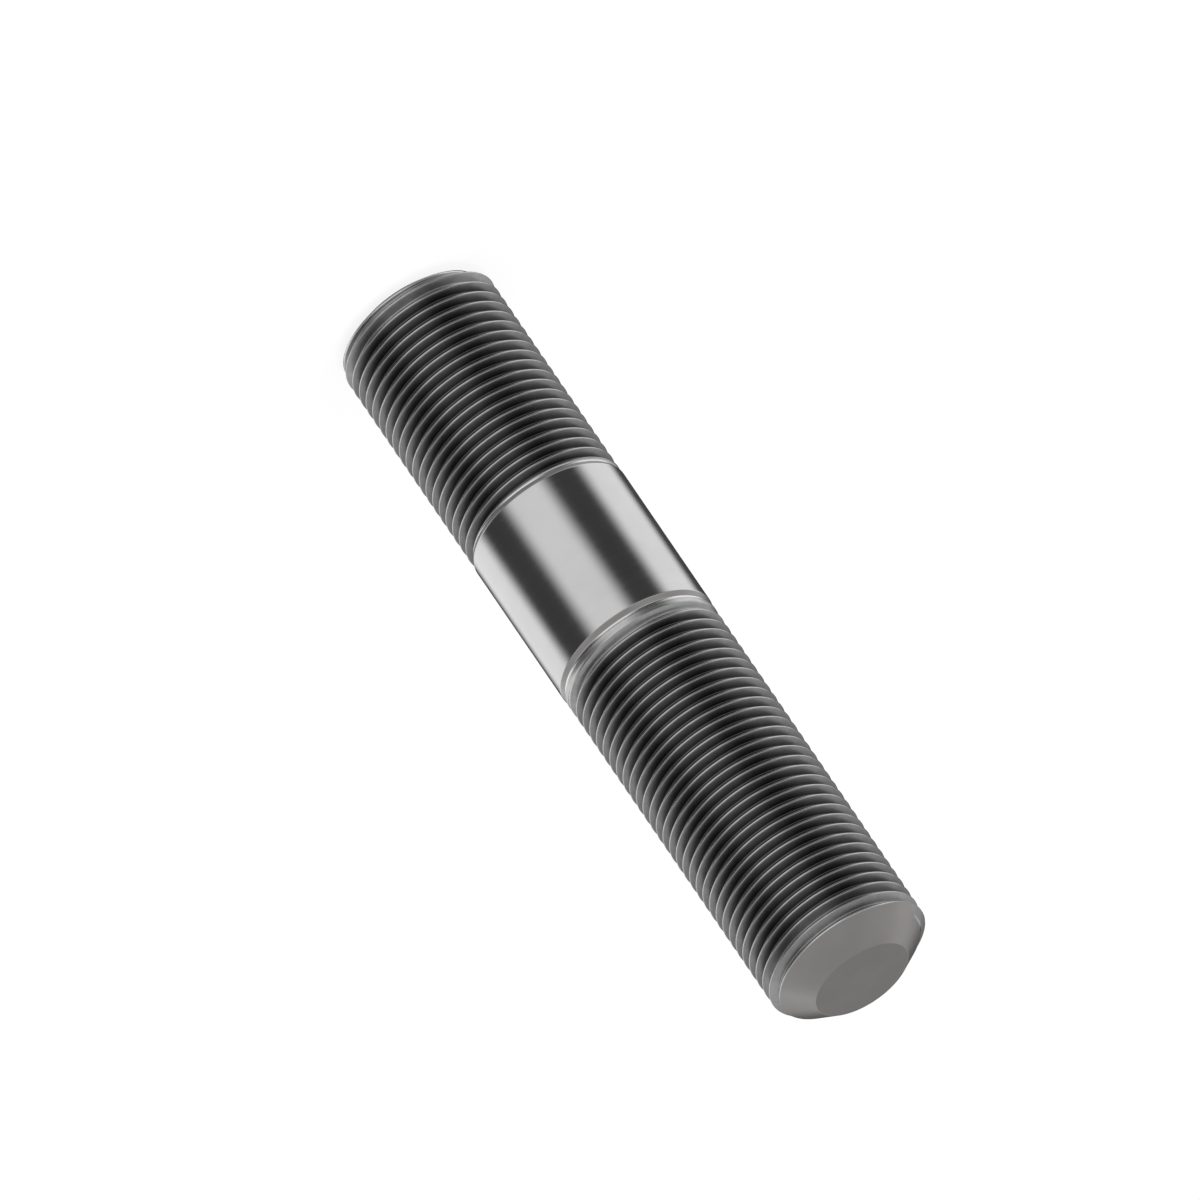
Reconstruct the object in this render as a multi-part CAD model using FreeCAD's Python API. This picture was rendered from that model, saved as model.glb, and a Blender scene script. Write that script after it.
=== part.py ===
import FreeCAD, Part
import math
import os

# A double-ended stud bolt, turned from one steel bar and threaded at both ends.
# It stands on the flat of its nut end, with +Z up its axis towards the coned metal end.
# The origin is the centre of the flat that it stands on. Lengths are in millimetres.
# The fine thread is drawn plain: each threaded length is a cylinder over its crests.

# Plain shank between the threads, and the slope at each of its ends, measured from the axis
shank_diameter = 20.0
shank_length = 19.5
shoulder_angle = 30.0

# Thread, the same at both ends. The crests are a little under the nominal size
thread_nominal = 20.0
thread_pitch = 1.5
crest_allowance = 0.1

# Neck beside the shank: a groove as deep as the thread's pitch line. Its wall on the thread's
# side slopes like the flank of the thread, measured from the axis
neck_wall_angle = 60.0

# Metal end, which screws into the housing: from the shank to the rim of its coned point
metal_end_length = 47.85
point_height = 2.98
point_flat_diameter = 12.1

# Nut end, which takes the nut: from the shank to the rim of its shallow chamfer
nut_end_length = 30.05
foot_height = 1.3
foot_flat_diameter = 15.4

# Form of a metric thread: its sharp triangle is equilateral, and its pitch line, where ridge and
# groove are equally wide, is three eighths of that triangle's height inside the nominal size
triangle_height = thread_pitch * math.sqrt(3) / 2
shank_radius = shank_diameter / 2
crest_radius = (thread_nominal - crest_allowance) / 2
neck_radius = thread_nominal / 2 - 3 / 8 * triangle_height

shoulder_length = abs(shank_radius - neck_radius) / math.tan(math.radians(shoulder_angle))
neck_wall_length = (crest_radius - neck_radius) / math.tan(math.radians(neck_wall_angle))
thread_start = shoulder_length + neck_wall_length

shank_start_z = foot_height + nut_end_length
shank_end_z = shank_start_z + shank_length

full_turn = 360.0


def end_outline(rim, tip_height, tip_diameter):
    """Half section of one threaded end, as pairs of a distance from the shank and a radius.

    rim is how far the thread's crests reach from the shank. Beyond it a cone leads to the flat tip.
    """
    tip = rim + tip_height
    return [
        (0.0, shank_radius),
        (shoulder_length, neck_radius),
        (thread_start, crest_radius),
        (rim, crest_radius),
        (tip, tip_diameter / 2),
        (tip, 0.0),
    ]


def stud_solid():
    """The whole stud: its half section, from the foot's centre to the point's, turned once."""
    nut_end = end_outline(nut_end_length, foot_height, foot_flat_diameter)
    metal_end = end_outline(metal_end_length, point_height, point_flat_diameter)
    section = [FreeCAD.Vector(radius, 0, shank_start_z - out) for out, radius in reversed(nut_end)]
    section += [FreeCAD.Vector(radius, 0, shank_end_z + out) for out, radius in metal_end]
    outline = Part.makePolygon(section + section[:1])
    axis = FreeCAD.Vector(0, 0, 1)
    return Part.Face(outline).revolve(FreeCAD.Vector(0, 0, 0), axis, full_turn)


os.makedirs("parts", exist_ok=True)
stud = stud_solid()
stud.exportStep("parts/stud.step")
print("Volume in cubic mm:", stud.Volume)
print("Each thread starts this far from the shank:", thread_start)
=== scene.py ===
import math

import bpy
from mathutils import Matrix, Vector

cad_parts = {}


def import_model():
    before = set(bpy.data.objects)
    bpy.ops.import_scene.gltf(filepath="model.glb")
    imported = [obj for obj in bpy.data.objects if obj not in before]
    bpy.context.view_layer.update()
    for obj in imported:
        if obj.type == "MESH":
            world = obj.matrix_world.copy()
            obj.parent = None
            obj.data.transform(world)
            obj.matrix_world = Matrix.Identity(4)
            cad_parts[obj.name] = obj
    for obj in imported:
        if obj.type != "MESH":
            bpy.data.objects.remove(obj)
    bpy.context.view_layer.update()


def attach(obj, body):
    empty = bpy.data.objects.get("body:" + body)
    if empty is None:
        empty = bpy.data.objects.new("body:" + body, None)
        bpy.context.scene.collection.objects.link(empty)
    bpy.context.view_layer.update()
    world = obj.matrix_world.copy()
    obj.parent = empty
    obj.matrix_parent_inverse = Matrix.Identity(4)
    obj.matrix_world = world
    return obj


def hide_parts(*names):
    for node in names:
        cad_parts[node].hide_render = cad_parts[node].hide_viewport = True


# A double-ended stud bolt of bright steel, standing on its nut end on a pale studio floor.
# Lengths in the mesh code are in millimetres, and become metres when the mesh is made.
# The sizes repeat those of the solid. The thread, which the solid leaves plain, is real here.

MM = 0.001

# The threaded ends, from the shank to the rim of their cones, and the heights of these cones
NUT_END_LENGTH = 30.05
FOOT_HEIGHT = 1.3
METAL_END_LENGTH = 47.85
POINT_HEIGHT = 2.98

# Shank, and the neck beside it at each end: a slope down to the neck, and a wall up to the thread.
# The angles here and in the thread are measured from the axis
SHANK_RADIUS = 10.0
SHANK_LENGTH = 19.5
SHANK_START_Z = FOOT_HEIGHT + NUT_END_LENGTH
SHANK_END_Z = SHANK_START_Z + SHANK_LENGTH
SHOULDER_SLOPE = math.tan(math.radians(30.0))
NECK_WALL_SLOPE = math.tan(math.radians(60.0))

# Metric fine thread, right-hand, on both ends. The neck reaches down to the basic pitch line. The
# thread's own lies a little inside it, as the tolerance of an outside thread asks
PITCH = 1.5
NOMINAL_RADIUS = 10.0
CREST_RADIUS = 9.95
TRIANGLE_HEIGHT = PITCH * math.sqrt(3) / 2
NECK_RADIUS = NOMINAL_RADIUS - 3 / 8 * TRIANGLE_HEIGHT
PITCH_LINE_TOLERANCE = 0.05
PITCH_LINE = NECK_RADIUS - PITCH_LINE_TOLERANCE
FLANK_ANGLE = math.radians(60.0)
FLANK_SLOPE = math.tan(FLANK_ANGLE)
CREST_ROUNDING = 0.15
ROOT_ROUNDING = PITCH / 8
ROOT_RADIUS = PITCH_LINE - FLANK_SLOPE * PITCH / 4 + ROOT_ROUNDING
CREST_EDGE = PITCH / 4 - (CREST_RADIUS - PITCH_LINE) / FLANK_SLOPE
CREST_FLAT = CREST_EDGE - CREST_ROUNDING * math.tan(FLANK_ANGLE / 2)

# Distances from the shank's face to the bottom of the neck and to the start of the thread
NECK_OUT = (SHANK_RADIUS - NECK_RADIUS) / SHOULDER_SLOPE
THREAD_OUT = NECK_OUT + (CREST_RADIUS - NECK_RADIUS) / NECK_WALL_SLOPE

# The two ends. side is the way outwards and face the shank's end. Measured from there outwards:
# rim, where the cone starts, and from and to, between which the groove grows to its full depth.
# tip is the cone's height, flat the radius of the tip, fillet the rounding of the neck's bottom,
# crest a height at which a crest faces -Y, chosen so that the thread opens on the far side, and
# finish the steel of the thread
METAL_END = {
    "side": 1,
    "face": SHANK_END_Z,
    "rim": METAL_END_LENGTH,
    "tip": POINT_HEIGHT,
    "flat": 6.05,
    "fillet": 0.3,
    "from": 1.1,
    "to": 3.2,
    "crest": 99.1,
    "finish": "metal_thread",
}
NUT_END = {
    "side": -1,
    "face": SHANK_START_Z,
    "rim": NUT_END_LENGTH,
    "tip": FOOT_HEIGHT,
    "flat": 7.7,
    "fillet": 0.25,
    "from": 0.65,
    "to": 1.25,
    "crest": 0.65,
    "finish": "nut_thread",
}

# Roundings where the shank ends and round the flats at the tips
SHANK_ROUNDING = 0.25
TIP_ROUNDING = 0.12

# How finely the surface is divided: columns round the axis, and steps along each rounding
COLUMNS = 96
ARC_STEPS = 3

# How far round -Y lies from +X, where the columns start, as a share of a turn
FRONT_TURN = 0.75

# A strip blunts the edge where the thread meets the body. It reaches this far to both sides of the
# edge, beside the neck and at the rim of the cone
NECK_SETBACK = 0.06
RIM_SETBACK = 0.16

# The most that the place of that edge, and the reach of its strip, change from column to column
EDGE_STEP = 0.12
SETBACK_STEP = 0.03

# The edge is looked for in steps of about this length, and then by halving the last one. In the
# cone the search starts this far beyond the thread's root
SEARCH_STEP = 0.01
HALVINGS = 30
SEARCH_MARGIN = 0.1

# The thread is cut where it lies this far below the body, and the body is bare where it lies this
# far below the thread
CUT_DEPTH = 1e-6
BARE_DEPTH = 1e-7


def smoothstep(t):
    """Rises from 0 to 1 with level ends."""
    t = min(max(t, 0.0), 1.0)
    return t * t * (3 - 2 * t)


def smoothstep_slope(t):
    """How fast smoothstep rises."""
    return 6 * t * (1 - t) if 0.0 < t < 1.0 else 0.0


def profile_rows():
    """One pitch of the thread as rows of (distance from the crest's centre, radius, slope)."""
    half = []
    for step in range(ARC_STEPS + 1):
        turn = FLANK_ANGLE * step / ARC_STEPS
        along = CREST_FLAT + CREST_ROUNDING * math.sin(turn)
        half.append((along, CREST_RADIUS - CREST_ROUNDING * (1 - math.cos(turn)), -math.tan(turn)))
    for step in range(ARC_STEPS, -1, -1):
        turn = FLANK_ANGLE * step / ARC_STEPS
        along = PITCH / 2 - ROOT_ROUNDING * math.sin(turn)
        half.append((along, ROOT_RADIUS + ROOT_ROUNDING * (1 - math.cos(turn)), -math.tan(turn)))
    mirrored = [(-along, radius, -slope) for along, radius, slope in reversed(half[:-1])]
    return mirrored + half


def full_thread(along):
    """Radius and slope of the full thread at a distance from a crest's centre."""
    along = (along + PITCH / 2) % PITCH - PITCH / 2
    way = math.copysign(1.0, along)
    along = abs(along)
    from_root = PITCH / 2 - along
    if along <= CREST_FLAT:
        return CREST_RADIUS, 0.0
    if along < CREST_FLAT + CREST_ROUNDING * math.sin(FLANK_ANGLE):
        turn = math.asin((along - CREST_FLAT) / CREST_ROUNDING)
        return CREST_RADIUS - CREST_ROUNDING * (1 - math.cos(turn)), -way * math.tan(turn)
    if from_root < ROOT_ROUNDING * math.sin(FLANK_ANGLE):
        turn = math.asin(from_root / ROOT_ROUNDING)
        return ROOT_RADIUS + ROOT_ROUNDING * (1 - math.cos(turn)), -way * math.tan(turn)
    return PITCH_LINE + (PITCH / 4 - along) * FLANK_SLOPE, -way * FLANK_SLOPE


def cone_slope(end):
    """How fast the radius shrinks along the end's cone."""
    return (CREST_RADIUS - end["flat"]) / end["tip"]


def body(end, out):
    """Radius of the turned body at a distance out from the shank's face, and its slope outwards."""
    if out < NECK_OUT:
        return SHANK_RADIUS - out * SHOULDER_SLOPE, -SHOULDER_SLOPE
    if out < THREAD_OUT:
        return NECK_RADIUS + (out - NECK_OUT) * NECK_WALL_SLOPE, NECK_WALL_SLOPE
    if out <= end["rim"]:
        return CREST_RADIUS, 0.0
    return CREST_RADIUS - (out - end["rim"]) * cone_slope(end), -cone_slope(end)


def height(end, out):
    """Height above the floor of a distance out from the shank's face."""
    return end["face"] + end["side"] * out


def crest_height(end, turn, column):
    """Height of a crest's centre in a column, some whole turns above the end's own crest height."""
    return end["crest"] + PITCH * (turn + column / COLUMNS - FRONT_TURN)


def cut(end, out, full_radius, full_slope):
    """The thread at a distance out: its groove grows from nothing to its full depth.

    Returns the radius, its slope along +Z, and its slope with the thread's phase alone.
    """
    t = (out - end["from"]) / (end["to"] - end["from"])
    share = smoothstep(t)
    growth = smoothstep_slope(t) / (end["to"] - end["from"]) * end["side"]
    depth = full_radius - CREST_RADIUS
    return CREST_RADIUS + share * depth, growth * depth + share * full_slope, share * full_slope


def surface(end, column, out, full=None):
    """Radius and normal where the thread is cut into the body, at a distance out.

    full is the radius and slope of the full thread there, worked out if it isn't given.
    """
    if full is None:
        full = full_thread(height(end, out) - crest_height(end, 0, column))
    radius, slope, phase_slope = cut(end, out, *full)
    body_radius, body_slope = body(end, out)
    if body_radius < radius - BARE_DEPTH:
        return body_radius, turned(column, 1.0, -body_slope * end["side"])
    around = phase_slope * PITCH / (2 * math.pi * radius)
    return radius, turned(column, 1.0, -slope, around)


def turned(column, outward, up, around=0.0):
    """A unit normal in a column, from its parts away from the axis, along +Z and round the axis."""
    angle = 2 * math.pi * column / COLUMNS
    x = outward * math.cos(angle) - around * math.sin(angle)
    y = outward * math.sin(angle) + around * math.cos(angle)
    return Vector((x, y, up)).normalized()


class Shell:
    """Collects the closed surface: points with their normals, faces, and each face's finish."""

    def __init__(self):
        self.points = []
        self.normals = []
        self.faces = []
        self.finishes = []

    def point(self, column, radius, z, normal):
        """Adds a point and returns its number."""
        angle = 2 * math.pi * column / COLUMNS
        self.points.append((radius * math.cos(angle) * MM, radius * math.sin(angle) * MM, z * MM))
        self.normals.append(normal)
        return len(self.points) - 1

    def face(self, numbers, finish):
        """Adds a face, leaving out repeated points, and nothing if it has no area."""
        kept = list(dict.fromkeys(numbers))
        if len(kept) > 2:
            self.faces.append(kept)
            self.finishes.append(finish)

    def band(self, lower, upper, finish):
        """Joins two rings by one row of faces."""
        for column in range(COLUMNS):
            after = (column + 1) % COLUMNS
            self.face((lower[column], lower[after], upper[after], upper[column]), finish)

    def cap(self, ring, z, side, finish):
        """Closes a ring with a flat face, as a fan about its centre."""
        centre = self.point(0, 0.0, z, Vector((0.0, 0.0, side)))
        for column in range(COLUMNS):
            pair = (ring[column], ring[(column + 1) % COLUMNS])
            self.face((centre, *(pair if side > 0 else reversed(pair))), finish)


def find_edge(end, column, start, stop):
    """How far from start, on the way to stop, the thread first cuts below the body."""
    way = math.copysign(1.0, stop - start)

    def is_cut(reach):
        out = start + way * reach
        full = full_thread(height(end, out) - crest_height(end, 0, column))
        return cut(end, out, *full)[0] < body(end, out)[0] - CUT_DEPTH

    span = abs(stop - start)
    steps = math.ceil(span / SEARCH_STEP)
    for number in range(1, steps + 1):
        if is_cut(span * number / steps):
            return bisect(is_cut, span * (number - 1) / steps, span * number / steps)
    return span


def bisect(test, no, yes):
    """The place between no and yes at which the test starts to hold."""
    for _ in range(HALVINGS):
        middle = (no + yes) / 2
        if test(middle):
            yes = middle
        else:
            no = middle
    return yes


def eased(lengths, step):
    """The same lengths, shortened where they would grow by more than a step in one column.

    The second round carries on what the first has changed, past the first column and the last.
    """
    lengths = list(lengths)
    rounds = 2
    for _ in range(rounds):
        for column in range(COLUMNS):
            lengths[column] = min(lengths[column], lengths[column - 1] + step)
        for column in reversed(range(COLUMNS)):
            lengths[column] = min(lengths[column], lengths[(column + 1) % COLUMNS] + step)
    return lengths


def edge_rings(shell, end, start, stop, setback):
    """Two rings either side of the edge where the thread meets the body: (point, z) in each column.

    The strip between them blunts the edge. The first ring is on the body, the second on the
    thread. Where the edge jumps from one turn to the next, the rings run together over the plain
    body instead.
    """
    way = math.copysign(1.0, stop - start)
    found = [find_edge(end, column, start, stop) for column in range(COLUMNS)]
    reaches = eased(found, EDGE_STEP)
    wanted = [setback if reach == sharp else 0.0 for reach, sharp in zip(reaches, found)]
    blunts = eased(wanted, SETBACK_STEP)
    on_body = []
    on_thread = []
    for column, (reach, blunt) in enumerate(zip(reaches, blunts)):
        out = start + way * (reach - blunt)
        radius, slope = body(end, out)
        normal = turned(column, 1.0, -slope * end["side"])
        z = height(end, out)
        on_body.append((shell.point(column, radius, z, normal), z))
        if blunt:
            out = start + way * (reach + blunt)
            radius, normal = surface(end, column, out)
            z = height(end, out)
            on_thread.append((shell.point(column, radius, z, normal), z))
        else:
            on_thread.append(on_body[-1])
    return on_body, on_thread


def add_thread(shell, end, low, high):
    """The thread between two rings of (point, z), in rows that follow its helix."""
    rows = profile_rows()
    made = {}

    def number_at(row, column):
        if column == COLUMNS:
            row, column = row + len(rows), 0
        if (row, column) not in made:
            made[row, column] = place_point(row, column)
        return made[row, column]

    def place_point(row, column):
        turn, index = divmod(row, len(rows))
        along, full_radius, full_slope = rows[index]
        z = crest_height(end, turn, column) + along
        if z <= low[column][1]:
            return low[column][0]
        if z >= high[column][1]:
            return high[column][0]
        out = (z - end["face"]) * end["side"]
        radius, normal = surface(end, column, out, (full_radius, full_slope))
        return shell.point(column, radius, z, normal)

    first_turn = math.floor((min(z for _, z in low) - end["crest"]) / PITCH - 1)
    last_turn = math.ceil((max(z for _, z in high) - end["crest"]) / PITCH + 2)
    for row in range(first_turn * len(rows), last_turn * len(rows)):
        for column in range(COLUMNS):
            after = column + 1
            shell.face((number_at(row, column), number_at(row, after),
                        number_at(row + 1, after), number_at(row + 1, column)), end["finish"])


def rounded(outline, roundings):
    """A half section with its inner corners rounded, as stations of (radius, z, normal parts).

    outline is a list of (radius, z) that goes upwards along the outside. roundings has a radius
    for each inner corner.
    """
    stations = []
    for before, corner, beyond, radius in zip(outline, outline[1:], outline[2:], roundings):
        corner = Vector(corner)
        first = (corner - Vector(before)).normalized()
        last = (Vector(beyond) - corner).normalized()
        turn = first.angle(last)
        start = corner - first * (radius * math.tan(turn / 2))
        bend = math.copysign(1.0, first.cross(last))
        inward = Vector((-first.y, first.x)) * bend
        for step in range(ARC_STEPS + 1):
            angle = turn * step / ARC_STEPS
            along = radius * math.sin(angle)
            aside = radius * (1 - math.cos(angle))
            place = start + first * along + inward * aside
            way = first * math.cos(angle) + inward * math.sin(angle)
            stations.append((place.x, place.y, (way.y, -way.x)))
    return stations


def points_of(ring):
    """The points of an edge ring, without their heights."""
    return [number for number, _ in ring]


def station_ring(shell, station, low, high):
    """A ring at a station. In a column where it would pass an edge, it is the edge's own point."""
    radius, z, (outward, up) = station
    ring = []
    for column in range(COLUMNS):
        if low and z <= low[column][1]:
            ring.append(low[column][0])
        elif high and z >= high[column][1]:
            ring.append(high[column][0])
        else:
            ring.append(shell.point(column, radius, z, turned(column, outward, up)))
    return ring


def add_bands(shell, stations, low, high, finishes):
    """The bands through the stations, from the low edge to the high edge if they are given.

    finishes has one for each band, upwards. Returns the first ring and the last.
    """
    rings = [station_ring(shell, station, low, high) for station in stations]
    if low:
        rings.insert(0, points_of(low))
    if high:
        rings.append(points_of(high))
    for lower, upper, finish in zip(rings, rings[1:], finishes):
        shell.band(lower, upper, finish)
    return rings[0], rings[-1]


def shank_outline():
    """Half section from the nut end's neck wall, over the shank, to the metal end's neck wall."""
    half = [(SHANK_RADIUS, 0.0), (NECK_RADIUS, NECK_OUT), (CREST_RADIUS, THREAD_OUT)]
    low = [(radius, height(NUT_END, out)) for radius, out in reversed(half)]
    return low + [(radius, height(METAL_END, out)) for radius, out in half]


def tip_outline(end):
    """Half section of the end's cone and flat, from the cone's rim to the axis."""
    tip_z = height(end, end["rim"] + end["tip"])
    return [(CREST_RADIUS, height(end, end["rim"])), (end["flat"], tip_z), (0.0, tip_z)]


def shank_finishes():
    """The finish of each band from one neck's wall to the other's.

    A neck's wall and its shoulder are turned, and the rounding between them is of lighter ground
    steel, a painted highlight that brightens its glint. The rounding where the shank ends is ground
    with the shank.
    """
    wall_to_shank = ["turned"] + ["painted_glint"] * ARC_STEPS + ["turned"] + ["ground"] * ARC_STEPS
    return wall_to_shank + ["ground"] + wall_to_shank[::-1]


def neck_edge(shell, end):
    """The rings at the edge of an end's thread beside the neck."""
    return edge_rings(shell, end, NECK_OUT / 2, THREAD_OUT, NECK_SETBACK)


def cone_edge(shell, end):
    """The rings at the edge of an end's thread in the cone, looked for from beyond its root."""
    root_out = end["rim"] + (CREST_RADIUS - ROOT_RADIUS) / cone_slope(end)
    return edge_rings(shell, end, root_out + SEARCH_MARGIN, end["rim"], RIM_SETBACK)


def build_shell():
    """The whole surface of the stud, from its foot up to its point."""
    shell = Shell()
    nut_neck, nut_start = neck_edge(shell, NUT_END)
    nut_cone, nut_stop = cone_edge(shell, NUT_END)
    metal_neck, metal_start = neck_edge(shell, METAL_END)
    metal_cone, metal_stop = cone_edge(shell, METAL_END)
    tip_finishes = ["turned"] * (ARC_STEPS + 1)

    foot = rounded(list(reversed(tip_outline(NUT_END))), (TIP_ROUNDING,))
    foot_ring, _ = add_bands(shell, foot, None, nut_cone, tip_finishes)
    shell.cap(foot_ring, foot[0][1], -1, "faced")
    # The strip at the foot's rim is of the lighter steel of a painted glint
    shell.band(points_of(nut_cone), points_of(nut_stop), "painted_glint")
    add_thread(shell, NUT_END, nut_stop, nut_start)
    shell.band(points_of(nut_start), points_of(nut_neck), "ground")

    roundings = (NUT_END["fillet"], SHANK_ROUNDING, SHANK_ROUNDING, METAL_END["fillet"])
    shank = rounded(shank_outline(), roundings)
    add_bands(shell, shank, nut_neck, metal_neck, shank_finishes())

    shell.band(points_of(metal_neck), points_of(metal_start), "ground")
    add_thread(shell, METAL_END, metal_start, metal_stop)
    # The strip at the point's rim is of the lighter steel of a painted glint
    shell.band(points_of(metal_stop), points_of(metal_cone), "painted_glint")
    point = rounded(tip_outline(METAL_END), (TIP_ROUNDING,))
    _, point_ring = add_bands(shell, point, metal_cone, None, tip_finishes)
    shell.cap(point_ring, point[-1][1], 1, "faced")
    return shell


def build_stud(materials):
    """The stud as one closed mesh that stands for the solid."""
    shell = build_shell()
    mesh = bpy.data.meshes.new("stud_body")
    mesh.from_pydata(shell.points, [], shell.faces)
    finishes = list(materials)
    for finish in finishes:
        mesh.materials.append(materials[finish])
    for polygon, finish in zip(mesh.polygons, shell.finishes):
        polygon.material_index = finishes.index(finish)
        polygon.use_smooth = True
    mesh.normals_split_custom_set_from_vertices(shell.normals)
    stud = bpy.data.objects.new("stud_body", mesh)
    bpy.context.scene.collection.objects.link(stud)
    return stud


class Nodes:
    """A short way to write a node tree."""

    def __init__(self, tree):
        self.tree = tree
        tree.nodes.clear()

    def add(self, kind, values=None, **settings):
        """Adds a node, sets its properties, and sets or links its inputs."""
        node = self.tree.nodes.new(kind)
        for name, value in settings.items():
            setattr(node, name, value)
        for key, value in (values or {}).items():
            if isinstance(value, bpy.types.NodeSocket):
                self.tree.links.new(value, node.inputs[key])
            else:
                node.inputs[key].default_value = value
        return node

    def math(self, operation, *values):
        """A Math node's result."""
        return self.add("ShaderNodeMath", dict(enumerate(values)), operation=operation).outputs[0]

    def ramp(self, value, low, high, low_result, high_result, kind="SMOOTHSTEP"):
        """A Map Range node's result."""
        inputs = {
            "Value": value,
            "From Min": low,
            "From Max": high,
            "To Min": low_result,
            "To Max": high_result,
        }
        return self.add("ShaderNodeMapRange", inputs, interpolation_type=kind).outputs["Result"]


def new_material(name):
    """An empty node material and its tree."""
    material = bpy.data.materials.new(name)
    material.use_nodes = True
    return material, Nodes(material.node_tree)


def steel(nodes, colour, roughness, normal):
    """The metal shader that every surface of the stud ends in."""
    inputs = {"Base Color": colour, "Metallic": 1.0, "Roughness": roughness, "Normal": normal}
    shader = nodes.add("ShaderNodeBsdfPrincipled", inputs)
    nodes.add("ShaderNodeOutputMaterial", {"Surface": shader.outputs["BSDF"]})


def object_place(nodes):
    """Object coordinates."""
    return nodes.add("ShaderNodeTexCoord").outputs["Object"]


def axis_place(nodes, place):
    """The distance of a position from the stud's axis, and its height."""
    parts = nodes.add("ShaderNodeSeparateXYZ", {0: place})
    x_square = nodes.math("MULTIPLY", parts.outputs["X"], parts.outputs["X"])
    y_square = nodes.math("MULTIPLY", parts.outputs["Y"], parts.outputs["Y"])
    return nodes.math("SQRT", nodes.math("ADD", x_square, y_square)), parts.outputs["Z"]


# How many finer layers the noise has where it is soft and where it is fine, and the values between
# which nearly all of it lies
SOFT_DETAIL = 2.0
FINE_DETAIL = 3.0
NOISE_RANGE = (0.3, 0.7)


def noise(nodes, place, scale, detail):
    """Grey noise at a position."""
    inputs = {"Vector": place, "Scale": scale, "Detail": detail}
    return nodes.add("ShaderNodeTexNoise", inputs).outputs["Fac"]


def ring_noise(nodes, radius, scale):
    """Grey noise that changes with the distance from the axis alone."""
    inputs = {"W": nodes.math("MULTIPLY", radius, scale), "Detail": SOFT_DETAIL}
    return nodes.add("ShaderNodeTexNoise", inputs, noise_dimensions="1D").outputs["Fac"]


def spread(nodes, value, low, high):
    """Noise turned into values between low and high."""
    return nodes.ramp(value, *NOISE_RANGE, low, high)


def varied(nodes, value, level, share):
    """Noise turned into values that differ from a level by a share of it, up and down."""
    return spread(nodes, value, level * (1 - share), level * (1 + share))


def stretched(nodes, place, scales):
    """A position stretched along its axes."""
    return nodes.add("ShaderNodeMapping", {"Vector": place, "Scale": scales}).outputs["Vector"]


def bump(nodes, relief, depth):
    """A normal disturbed by a relief between 0 and 1, where 1 stands for a depth in metres."""
    inputs = {"Height": relief, "Distance": depth, "Strength": 1.0}
    return nodes.add("ShaderNodeBump", inputs).outputs["Normal"]


def blend(nodes, first, second, share):
    """The first value turned into the second by a share."""
    return nodes.math("MULTIPLY_ADD", nodes.math("SUBTRACT", second, first), share, first)


# How much green a warm grey loses for each part of blue
GREEN_LOSS = 0.7


def grey(nodes, value, warmth=0.0):
    """A grey from a value. warmth is the share of its blue that it loses."""
    inputs = {
        "Red": value,
        "Green": nodes.math("MULTIPLY", value, 1.0 - warmth * GREEN_LOSS),
        "Blue": nodes.math("MULTIPLY", value, 1.0 - warmth),
    }
    return nodes.add("ShaderNodeCombineColor", inputs).outputs["Color"]


# Ground steel: how often in a metre its marks change, across the axis and along it, and its soft
# clouds, the share by which the clouds change the level, the range of its roughness, and the depth
# of the marks in metres
GROUND_MARKS = (40.0, 40.0, 9000.0)
GROUND_CLOUDS = 180.0
GROUND_CLOUD_SHARE = 0.025
GROUND_ROUGHNESS = (0.15, 0.2)
GROUND_DEPTH = 0.0000004

# Turned steel: the same, with rings about the axis in place of the marks
TURNED_RINGS = 9000.0
TURNED_CLOUDS = 260.0
TURNED_CLOUD_SHARE = 0.03
TURNED_ROUGHNESS = (0.3, 0.38)
TURNED_DEPTH = 0.000005

# Thread: painted shade in the grooves, its level rising between two radii from the root, and a
# painted highlight added between two radii at the crests. The roughness is that of the grooves and
# that of the crests. A mottle varies the level
GROOVE_RADII = (9.05, 9.8)
GROOVE_SHADE_LEVELS = (0.13, 0.27)
CREST_RADII = (9.84, 9.94)
CREST_HIGHLIGHT = 0.2
THREAD_ROUGHNESS = (0.3, 0.22)
MOTTLE_SCALE = 900.0
MOTTLE_SHARE = 0.06
MOTTLE_DEPTH = 0.000001

# Where the thread ends, its painted groove shade and crest highlight fade towards a lighter level,
# and it is duller. Each row has the heights where that change begins and ends, and the level that
# it leads to
NUT_THREAD_ENDS_LIT_AND_DULL = ((30.0, 30.5, 0.5), (3.5, 2.9, 0.53))
METAL_THREAD_ENDS_LIT_AND_DULL = ((54.4, 53.4, 0.57), (96.3, 97.1, 0.5))
END_SHARE = 0.8
END_ROUGHNESS = 0.4


def ground_steel(name, level):
    """Ground steel: bright, with faint marks round it from the wheel."""
    material, nodes = new_material(name)
    place = object_place(nodes)
    marks = noise(nodes, stretched(nodes, place, GROUND_MARKS), 1.0, FINE_DETAIL)
    clouds = noise(nodes, place, GROUND_CLOUDS, SOFT_DETAIL)
    colour = grey(nodes, varied(nodes, clouds, level, GROUND_CLOUD_SHARE))
    roughness = spread(nodes, marks, *GROUND_ROUGHNESS)
    steel(nodes, colour, roughness, bump(nodes, marks, GROUND_DEPTH))
    return material


def radius_ramp(nodes, radius, radii, levels, kind="SMOOTHSTEP"):
    """A level that changes with the distance from the axis, between two radii in millimetres."""
    return nodes.ramp(radius, radii[0] * MM, radii[1] * MM, levels[0], levels[1], kind)


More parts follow.
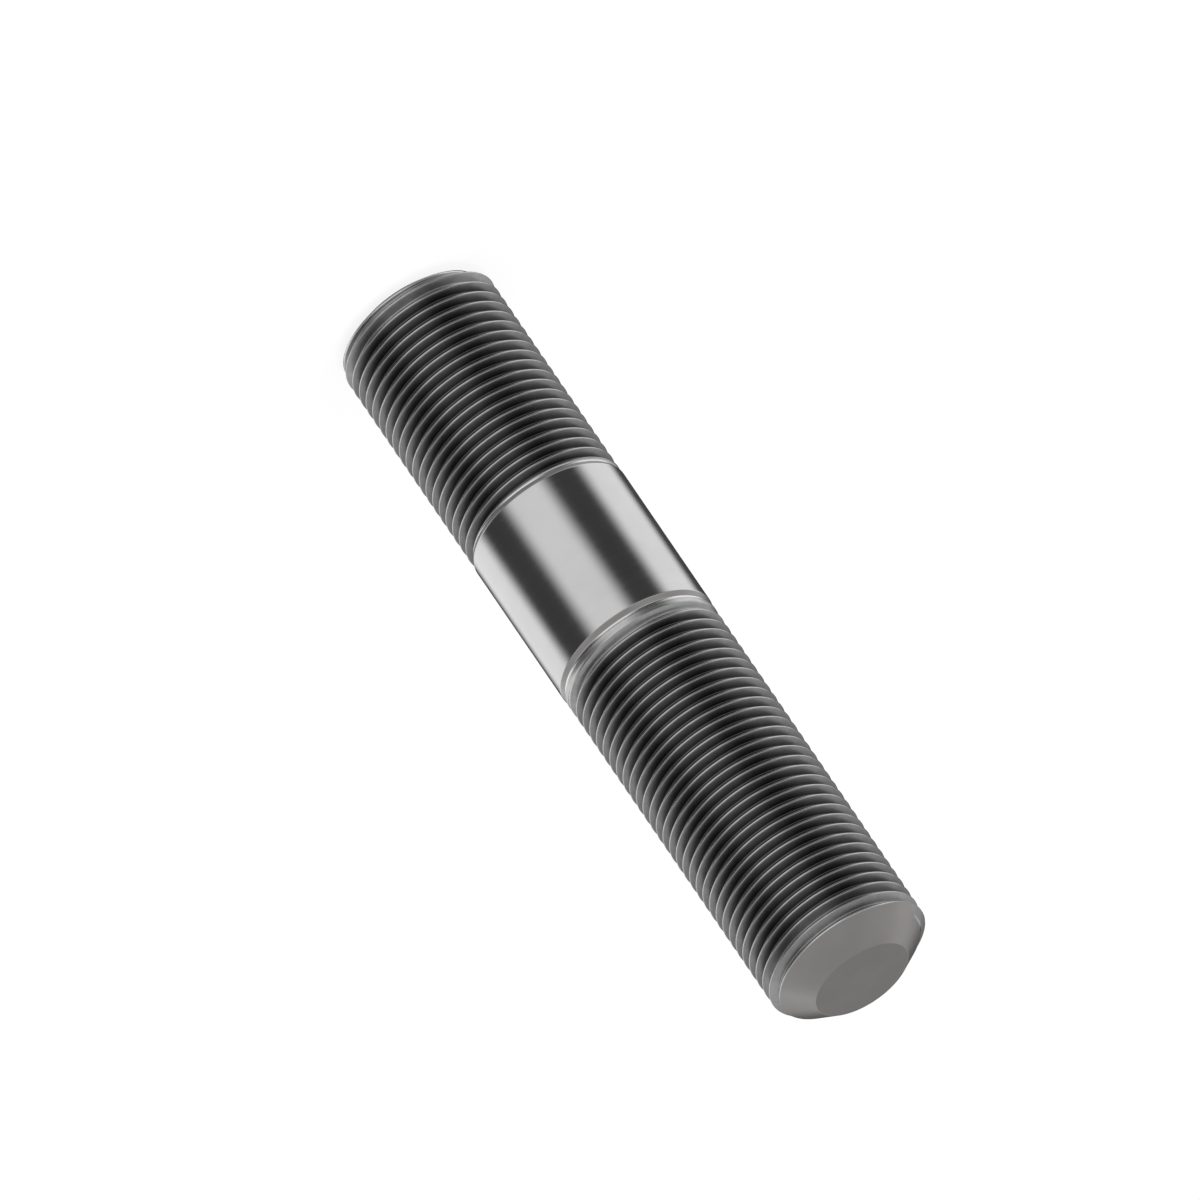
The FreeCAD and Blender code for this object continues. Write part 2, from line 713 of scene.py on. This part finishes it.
def thread_steel(name, ends_lit_and_dull):
    """Thread: a painted highlight on the crests over painted shade in the grooves, both fading to a
    lighter level at the ends, where the steel is also duller.
    """
    material, nodes = new_material(name)
    place = object_place(nodes)
    radius, z = axis_place(nodes, place)
    mottle = noise(nodes, place, MOTTLE_SCALE, FINE_DETAIL)
    # Painted shade that darkens the grooves towards their roots, and a painted highlight on the
    # crests
    crest = radius_ramp(nodes, radius, CREST_RADII, (0.0, 1.0))
    groove = radius_ramp(nodes, radius, GROOVE_RADII, GROOVE_SHADE_LEVELS, "LINEAR")
    value = nodes.math("MULTIPLY_ADD", crest, CREST_HIGHLIGHT, groove)
    roughness = nodes.ramp(crest, 0.0, 1.0, *THREAD_ROUGHNESS, "LINEAR")
    # The painted shade and highlight fade to a lighter level towards the ends, and the steel turns
    # duller
    for start, stop, level in ends_lit_and_dull:
        share = nodes.ramp(z, start * MM, stop * MM, 0.0, END_SHARE)
        value = blend(nodes, value, level, share)
        roughness = blend(nodes, roughness, END_ROUGHNESS, share)
    value = nodes.math("MULTIPLY", value, varied(nodes, mottle, 1.0, MOTTLE_SHARE))
    steel(nodes, grey(nodes, value), roughness, bump(nodes, mottle, MOTTLE_DEPTH))
    return material


def turned_steel(name, level, warmth):
    """Turned steel: satin, with the fine rings of the tool's feed."""
    material, nodes = new_material(name)
    place = object_place(nodes)
    radius, _ = axis_place(nodes, place)
    rings = ring_noise(nodes, radius, TURNED_RINGS)
    clouds = noise(nodes, place, TURNED_CLOUDS, SOFT_DETAIL)
    colour = grey(nodes, varied(nodes, clouds, level, TURNED_CLOUD_SHARE), warmth)
    roughness = spread(nodes, rings, *TURNED_ROUGHNESS)
    steel(nodes, colour, roughness, bump(nodes, rings, TURNED_DEPTH))
    return material


def make_materials():
    """The finishes of the stud by name.

    The first number is the share of light that the steel gives back, and the second how warm it
    is. The shank and the edges beside the necks are ground, the necks' bottoms and the rims of the
    cones of lighter ground steel, a painted highlight that brightens their glint, the necks' walls,
    the shoulders and the cones turned, and the flats faced.
    """
    return {
        "ground": ground_steel("steel_ground", 0.585),
        # Lighter ground steel, a painted highlight that brightens the glint of the necks' bottoms
        # and the cones' rims
        "painted_glint": ground_steel("steel_painted_glint", 0.75),
        "nut_thread": thread_steel("steel_nut_thread", NUT_THREAD_ENDS_LIT_AND_DULL),
        "metal_thread": thread_steel("steel_metal_thread", METAL_THREAD_ENDS_LIT_AND_DULL),
        "turned": turned_steel("steel_turned", 0.44, 0.05),
        "faced": turned_steel("steel_faced", 0.31, 0.04),
    }


# The studio that the steel reflects: three strips of light round the stud, plain grey above them
# and straight below. A strip has its middle and half its width, in degrees from -Y towards +X, and
# its level. Its edges are soft to both sides by STRIP_EDGE, and the gaps between are dark
STRIPS = ((6.7, 30.2, 0.96), (122.3, 29.7, 1.13), (-107.2, 29.3, 1.09))
STRIP_EDGE = 12.0
GAP_LEVEL = 0.06
WALL_LEVEL = 0.54
CEILING_LEVEL = 0.45
BELOW_LEVEL = 0.53

# Each change of level lies between two heights of the unit direction that is looked along: from
# strips to wall, from wall to ceiling, and down to the grey below
HORIZON = (-0.06, 0.14)
WALL = (0.3, 1.0)
NADIR = (-0.72, -0.92)

# Two small soft lights high behind the stud, one on each side: the way to the one at +X, how far
# from its middle the light reaches and how far it is full, in degrees, and its level
BACK_LIGHT = Vector((0.5, 0.65, 0.57)).normalized()
BACK_LIGHT_REACH = (13.0, 4.0)
BACK_LIGHT_LEVEL = 0.44


def strip_light(nodes, azimuth, middle, half_width, level):
    """What a strip of light adds to the level of the gaps: nothing outside it."""
    away = nodes.math("SUBTRACT", azimuth, math.radians(middle))
    away = nodes.math("ABSOLUTE", nodes.math("WRAP", away, math.pi, -math.pi))
    inner = math.radians(half_width - STRIP_EDGE)
    outer = math.radians(half_width + STRIP_EDGE)
    return nodes.ramp(away, inner, outer, level - GAP_LEVEL, 0.0)


def back_light(nodes, parts):
    """What the two lights behind the stud add, mirrored about the plane of Y and Z."""
    facing = nodes.math("MULTIPLY", nodes.math("ABSOLUTE", parts.outputs["X"]), BACK_LIGHT.x)
    facing = nodes.math("MULTIPLY_ADD", parts.outputs["Y"], BACK_LIGHT.y, facing)
    facing = nodes.math("MULTIPLY_ADD", parts.outputs["Z"], BACK_LIGHT.z, facing)
    reach, full = [math.cos(math.radians(angle)) for angle in BACK_LIGHT_REACH]
    return nodes.ramp(facing, reach, full, 0.0, BACK_LIGHT_LEVEL)


def studio_level(nodes):
    """The studio's level in the direction that is looked along."""
    direction = nodes.add("ShaderNodeTexCoord").outputs["Generated"]
    parts = nodes.add("ShaderNodeSeparateXYZ", {0: direction})
    forward = nodes.math("MULTIPLY", parts.outputs["Y"], -1.0)
    azimuth = nodes.math("ARCTAN2", parts.outputs["X"], forward)
    rise = parts.outputs["Z"]
    low = GAP_LEVEL
    for middle, half_width, level in STRIPS:
        low = nodes.math("ADD", low, strip_light(nodes, azimuth, middle, half_width, level))
    high = nodes.ramp(rise, *WALL, WALL_LEVEL, CEILING_LEVEL)
    level = blend(nodes, low, high, nodes.ramp(rise, *HORIZON, 0.0, 1.0))
    level = blend(nodes, level, BELOW_LEVEL, nodes.ramp(rise, *NADIR, 0.0, 1.0))
    return nodes.math("ADD", level, back_light(nodes, parts))


def make_world():
    """White behind the stud, and the studio that its steel reflects."""
    world = bpy.data.worlds.new("studio")
    bpy.context.scene.world = world
    world.use_nodes = True
    nodes = Nodes(world.node_tree)
    studio = nodes.add("ShaderNodeBackground", {"Color": grey(nodes, studio_level(nodes))})
    seen = nodes.add("ShaderNodeLightPath").outputs["Is Camera Ray"]
    white = nodes.add("ShaderNodeBackground", {"Color": (1.0, 1.0, 1.0, 1.0)})
    mixed = nodes.add("ShaderNodeMixShader", {0: seen, 1: studio.outputs[0], 2: white.outputs[0]})
    nodes.add("ShaderNodeOutputWorld", {"Surface": mixed.outputs[0]})


# Floor, in metres. To the camera it gives this share of its white itself, so that the shadow on it
# stays faint
FLOOR_GLOW = 0.87
FLOOR_COLOUR = (0.95, 0.95, 0.95, 1.0)
FLOOR_SIDE = 4.0


def make_floor():
    """Pale floor that keeps the stud's shadow."""
    material, nodes = new_material("floor_white")
    seen = nodes.add("ShaderNodeLightPath").outputs["Is Camera Ray"]
    paint = nodes.add("ShaderNodeBsdfDiffuse", {"Color": FLOOR_COLOUR})
    glow = nodes.add("ShaderNodeEmission", {"Color": (1.0, 1.0, 1.0, 1.0), "Strength": 1.0})
    share = nodes.math("MULTIPLY", seen, FLOOR_GLOW)
    mixed = nodes.add("ShaderNodeMixShader", {0: share, 1: paint.outputs[0], 2: glow.outputs[0]})
    nodes.add("ShaderNodeOutputMaterial", {"Surface": mixed.outputs[0]})
    half = FLOOR_SIDE / 2
    points = [(-half, -half, 0.0), (half, -half, 0.0), (half, half, 0.0), (-half, half, 0.0)]
    mesh = bpy.data.meshes.new("floor")
    mesh.from_pydata(points, [], [(0, 1, 2, 3)])
    mesh.materials.append(material)
    floor = bpy.data.objects.new("floor", mesh)
    bpy.context.scene.collection.objects.link(floor)
    floor.visible_glossy = False


# Soft square lamps, which the steel doesn't reflect: name, place and side in metres, and power in
# watts. They point at the middle of the stud
LAMPS = (
    ("lamp_above", (0.1, -0.1, 0.8), 0.7, 6.0),
    ("lamp_side", (-0.6, -0.4, 0.5), 0.6, 3.0),
)
LAMP_AIM = Vector((0.0, 0.0, 0.05))


def make_lamp(name, place, side, power):
    """A square soft lamp aimed at the middle of the stud, neither seen nor reflected."""
    data = bpy.data.lights.new(name, "AREA")
    data.shape = "SQUARE"
    data.size = side
    data.energy = power
    lamp = bpy.data.objects.new(name, data)
    lamp.location = place
    aim = LAMP_AIM - Vector(place)
    lamp.rotation_euler = aim.to_track_quat("-Z", "Y").to_euler()
    lamp.visible_glossy = False
    lamp.visible_camera = False
    bpy.context.scene.collection.objects.link(lamp)


# The photograph's camera: no perspective, this far above the level, and rolled. Its picture is
# square. AXIS_DIRECTION is the way of the stud's axis in it, rightwards and upwards, and the axis
# at AXIS_POINT_Z lies AXIS_POINT_OFFSET millimetres from its middle
CAMERA_RISE = math.radians(27.55)
PICTURE_PIXELS = 1200
PIXELS_PER_MM = 8.865
VIEW_WIDTH = PICTURE_PIXELS / PIXELS_PER_MM * MM
AXIS_DIRECTION = (0.56415, -0.82567)
AXIS_POINT_Z = 50.18
AXIS_POINT_OFFSET = (3.809, -5.111)
CAMERA_DISTANCE = 0.6


def make_camera():
    """Camera at the photograph's angle. The stud's top points down to the right in its picture."""
    right_part, up_part = AXIS_DIRECTION
    level = Vector((1.0, 0.0, 0.0))
    back = Vector((0.0, -math.cos(CAMERA_RISE), math.sin(CAMERA_RISE)))
    rising = back.cross(level)
    right = level * up_part + rising * right_part
    up = level * -right_part + rising * up_part
    rightwards, upwards = AXIS_POINT_OFFSET
    centre = Vector((0.0, 0.0, AXIS_POINT_Z)) - right * rightwards - up * upwards
    turn = Matrix((right, up, back)).transposed().to_4x4()
    data = bpy.data.cameras.new("camera")
    data.type = "ORTHO"
    data.ortho_scale = VIEW_WIDTH
    camera = bpy.data.objects.new("camera", data)
    camera.matrix_world = Matrix.Translation(centre * MM + back * CAMERA_DISTANCE) @ turn
    bpy.context.scene.collection.objects.link(camera)
    bpy.context.scene.camera = camera


def main():
    """Dresses the solid and sets up the studio."""
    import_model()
    bpy.context.scene.view_settings.view_transform = "Standard"
    stud = build_stud(make_materials())
    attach(stud, "root")
    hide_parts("stud")
    make_world()
    make_floor()
    for lamp in LAMPS:
        make_lamp(*lamp)
    make_camera()


main()
